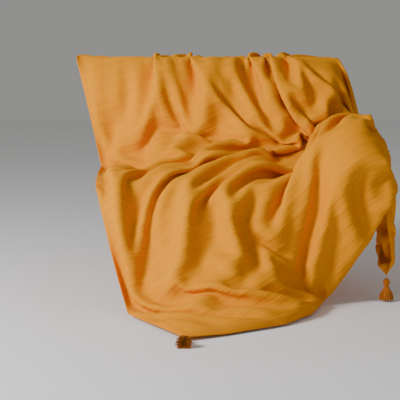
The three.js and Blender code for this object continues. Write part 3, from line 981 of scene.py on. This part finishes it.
def corner_knot(name, corner, material):
    """The thread that sews the cord to the cloth's corner: a few turns round the tip."""
    t = np.linspace(0, 1, 61)
    turn = t * math.tau * KNOT_TURNS
    ring = np.stack([KNOT_RADIUS * np.cos(turn), KNOT_RADIUS * np.sin(turn), KNOT_RISE - KNOT_LENGTH * t], 1)
    form = Form()
    form.tube(ring + corner, KNOT_THREAD, 6)
    return form.piece(f"corner_knot_{name}", material, "sewing_thread")


def make_tassel(name, corner, materials, rng):
    """One tassel: its knot rides on the cloth, its cord and its body each on their own joint."""
    shape = TasselFrame(name)
    knot = corner_knot(name, corner, materials["thread"])
    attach(knot, "throw")
    cord = tassel_cord(name, shape, materials["yarn"])
    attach(cord, f"{name}_cord")
    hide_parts(f"tassel_{name}_cord")
    pieces = {"head": tassel_head(name, shape, materials["yarn"], rng),
              "binding": tassel_binding(name, shape, materials["yarn"]),
              "skirt": tassel_skirt(name, shape, materials["yarn"], rng)}
    for part, piece in pieces.items():
        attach(piece, f"{name}_tassel")
        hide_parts(f"tassel_{name}_{part}")


# ---- materials

class Shader:
    """A material's nodes, with short calls to add and join them."""

    def __init__(self, name):
        self.material = bpy.data.materials.new(name)
        self.material.use_nodes = True
        self.tree = self.material.node_tree
        self.surface = self.tree.nodes["Principled BSDF"]

    def node(self, kind, settings=None, **inputs):
        """Adds a node; an input is a value or another node's output."""
        node = self.tree.nodes.new("ShaderNode" + kind)
        for name, value in (settings or {}).items():
            setattr(node, name, value)
        for name, value in inputs.items():
            socket = node.inputs[int(name[1:]) if name[0] == "_" else name.replace("_", " ")]
            self.join(value, socket)
        return node

    def join(self, value, socket):
        if isinstance(value, bpy.types.NodeSocket):
            self.tree.links.new(value, socket)
        else:
            socket.default_value = value

    def math(self, operation, first, second=0.0):
        return self.node("Math", {"operation": operation}, _0=first, _1=second).outputs[0]

    def mix(self, share, first, second):
        node = self.node("Mix", {"data_type": "RGBA"})
        self.join(share, node.inputs["Factor"])
        self.join(first, node.inputs[6])
        self.join(second, node.inputs[7])
        return node.outputs[2]

    def tint(self, tone, share, most, colour):
        """The tone moved towards a colour, at most so far."""
        return self.mix(self.math("MULTIPLY", share, most), tone, colour)

    def attribute(self, name, output="Fac"):
        return self.node("Attribute", {"attribute_name": name}).outputs[output]

    def noise(self, vector, scale, detail=3.0, roughness=0.5):
        return self.node("TexNoise", None, Vector=vector, Scale=scale, Detail=detail,
                         Roughness=roughness).outputs["Fac"]

    def threads(self, vector, direction, unevenness):
        """Bands as wide as one thread of the cloth."""
        return self.node("TexWave", {"bands_direction": direction}, Vector=vector, Scale=125.0,
                         Distortion=unevenness, Detail_Scale=40.0).outputs["Fac"]

    def stretched(self, vector, scale):
        return self.node("Mapping", None, Vector=vector, Scale=scale).outputs[0]

    def bump(self, height, strength, distance):
        return self.node("Bump", None, Height=height, Strength=strength, Distance=distance).outputs[0]

    def finished(self, inputs):
        """The material, with these values and outputs on its surface."""
        for name, value in inputs.items():
            self.join(value, self.surface.inputs[name])
        return self.material


def cloth_material():
    """Cotton with slubby threads: streaks along the ribs, a fine weave, a painted highlight along the ribs'
    crests and a firmer hem.
    """
    s = Shader("cotton_cloth")
    flat = s.attribute("flat_place", "Vector")
    streaks = s.noise(s.stretched(flat, (6, 210, 1)), 1.0, 4.0, 0.6)
    clouds = s.noise(flat, 9.0, 3.0)
    warp = s.noise(s.stretched(flat, (260, 14, 1)), 1.0, 2.0)
    tone = s.mix(streaks, (0.70, 0.235, 0.001, 1), (0.88, 0.350, 0.002, 1))
    tone = s.tint(tone, clouds, 0.45, (0.72, 0.250, 0.001, 1))
    tone = s.tint(tone, warp, 0.22, (0.60, 0.180, 0.005, 1))
    # painted highlight: the raised ribs are painted paler, standing in for light catching their crests
    tone = s.tint(tone, s.attribute("rib"), 0.4, (0.95, 0.460, 0.015, 1))
    tone = s.tint(tone, s.attribute("hem"), 0.25, (0.62, 0.190, 0.006, 1))
    tone = s.tint(tone, s.attribute("under"), 0.5, (0.74, 0.250, 0.035, 1))
    weave = s.math("MULTIPLY", s.threads(flat, "Y", 1.2), s.threads(flat, "X", 1.0))
    height = s.math("ADD", s.math("MULTIPLY", weave, 0.4), streaks)
    height = s.math("ADD", height, s.math("MULTIPLY", warp, 0.5))
    return s.finished({
        "Base Color": tone,
        "Normal": s.bump(height, 0.55, 0.0012),
        "Roughness": s.math("ADD", s.math("MULTIPLY", streaks, 0.12), 0.82),
        "Specular IOR Level": 0.06,
        "Sheen Weight": 0.05,
        "Sheen Roughness": 0.5,
        "Sheen Tint": (1.0, 0.60, 0.15, 1),
    })


def yarn_material():
    """Twisted cotton yarn, with painted shade between its fibres."""
    s = Shader("tassel_yarn")
    place = s.node("TexCoord").outputs["Object"]
    fibres = s.noise(s.stretched(place, (900, 900, 260)), 1.0, 3.0, 0.6)
    clumps = s.noise(place, 160.0, 2.0)
    # painted shade: the darker tone stands in for the shade that falls between the yarn's fibres and inside
    # its pile
    tone = s.mix(fibres, (0.38, 0.100, 0.010, 1), (0.68, 0.240, 0.024, 1))
    return s.finished({
        "Base Color": s.tint(tone, clumps, 0.6, (0.42, 0.115, 0.012, 1)),
        "Normal": s.bump(fibres, 0.7, 0.0006),
        "Roughness": s.math("ADD", s.math("MULTIPLY", clumps, 0.15), 0.80),
        "Specular IOR Level": 0.15,
        "Sheen Weight": 0.35,
        "Sheen Roughness": 0.4,
        "Sheen Tint": (1.0, 0.72, 0.38, 1),
    })


def thread_material():
    """Sewing thread, a shade deeper than the cloth."""
    s = Shader("sewing_thread")
    twist = s.noise(s.node("TexCoord").outputs["Object"], 900.0, 2.0)
    return s.finished({
        "Base Color": s.mix(twist, (0.46, 0.17, 0.016, 1), (0.66, 0.29, 0.032, 1)),
        "Normal": s.bump(twist, 0.5, 0.0003),
        "Roughness": s.math("ADD", s.math("MULTIPLY", twist, 0.2), 0.6),
        "Specular IOR Level": 0.25,
        "Sheen Weight": 0.2,
    })


# ---- studio

FLOOR_REACH = 12.0  # the floor goes out this far each way
THROW_MIDDLE = (0.1, -0.2, 0.0)


def floor_material():
    """A plain pale floor."""
    s = Shader("pale_floor")
    patches = s.noise(s.node("TexCoord").outputs["Object"], 3.0)
    tone = s.mix(patches, (0.86, 0.86, 0.86, 1), (0.90, 0.90, 0.90, 1))
    return s.finished({"Base Color": tone, "Roughness": 0.7})


def make_floor():
    """The floor that the front corner lies on."""
    r, z = FLOOR_REACH, FLOOR_Z
    mesh = bpy.data.meshes.new("floor")
    mesh.from_pydata([(-r, -r, z), (r, -r, z), (r, r, z), (-r, r, z)], [], [(0, 1, 2, 3)])
    mesh.materials.append(floor_material())
    floor = placed("floor", mesh)


def soft_light(name, place, size, power):
    """A square soft light that faces the throw."""
    light = bpy.data.lights.new(name, "AREA")
    light.size, light.energy = size, power
    obj = placed(name, light)
    obj.location = place
    obj.rotation_euler = (Vector(THROW_MIDDLE) - Vector(place)).to_track_quat("-Z", "Y").to_euler()


def make_studio():
    """Soft light from the upper left, a weak fill from the right, and an even surround."""
    soft_light("key_light", (-3.3, -2.4, 2.0), 1.2, 255)
    soft_light("fill_light", (2.6, -3.4, 1.2), 2.4, 10)
    world = bpy.data.worlds.new("surround")
    world.use_nodes = True
    surround = world.node_tree.nodes["Background"]
    surround.inputs["Color"].default_value = (1.0, 0.99, 0.97, 1)
    surround.inputs["Strength"].default_value = 0.30
    bpy.context.scene.world = world


def make_camera():
    """The camera, level with the back's top edge and tilted down a little."""
    camera = bpy.data.cameras.new("camera")
    camera.lens = 102.6
    camera.sensor_width = 36.0
    obj = placed("camera", camera)
    obj.location = VIEWPOINT.tolist()
    obj.rotation_euler = (math.radians(83), 0, 0)
    bpy.context.scene.camera = obj


# ---- the throw

def make_throw(materials):
    """The cloth and its stitching, which replace the plain solids."""
    points = draped_cloth()
    normals = face_normals(points).astype(np.float32)
    throw = throw_piece(points, normals, materials["cloth"], np.random.default_rng(7))
    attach(throw, "throw")
    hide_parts("throw_cloth")
    for side in ("front", "left", "rear", "right"):
        piece = stitching_piece(side, points, normals, materials["thread"])
        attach(piece, "throw")
        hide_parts(f"hem_stitching_{side}")


def main():
    """Builds everything in the scene."""
    make_camera()
    make_studio()
    make_floor()
    materials = {"cloth": cloth_material(), "yarn": yarn_material(), "thread": thread_material()}
    make_throw(materials)
    rng = np.random.default_rng(11)
    for name in TASSELS:
        make_tassel(name, CORNERS[name], materials, rng)


main()
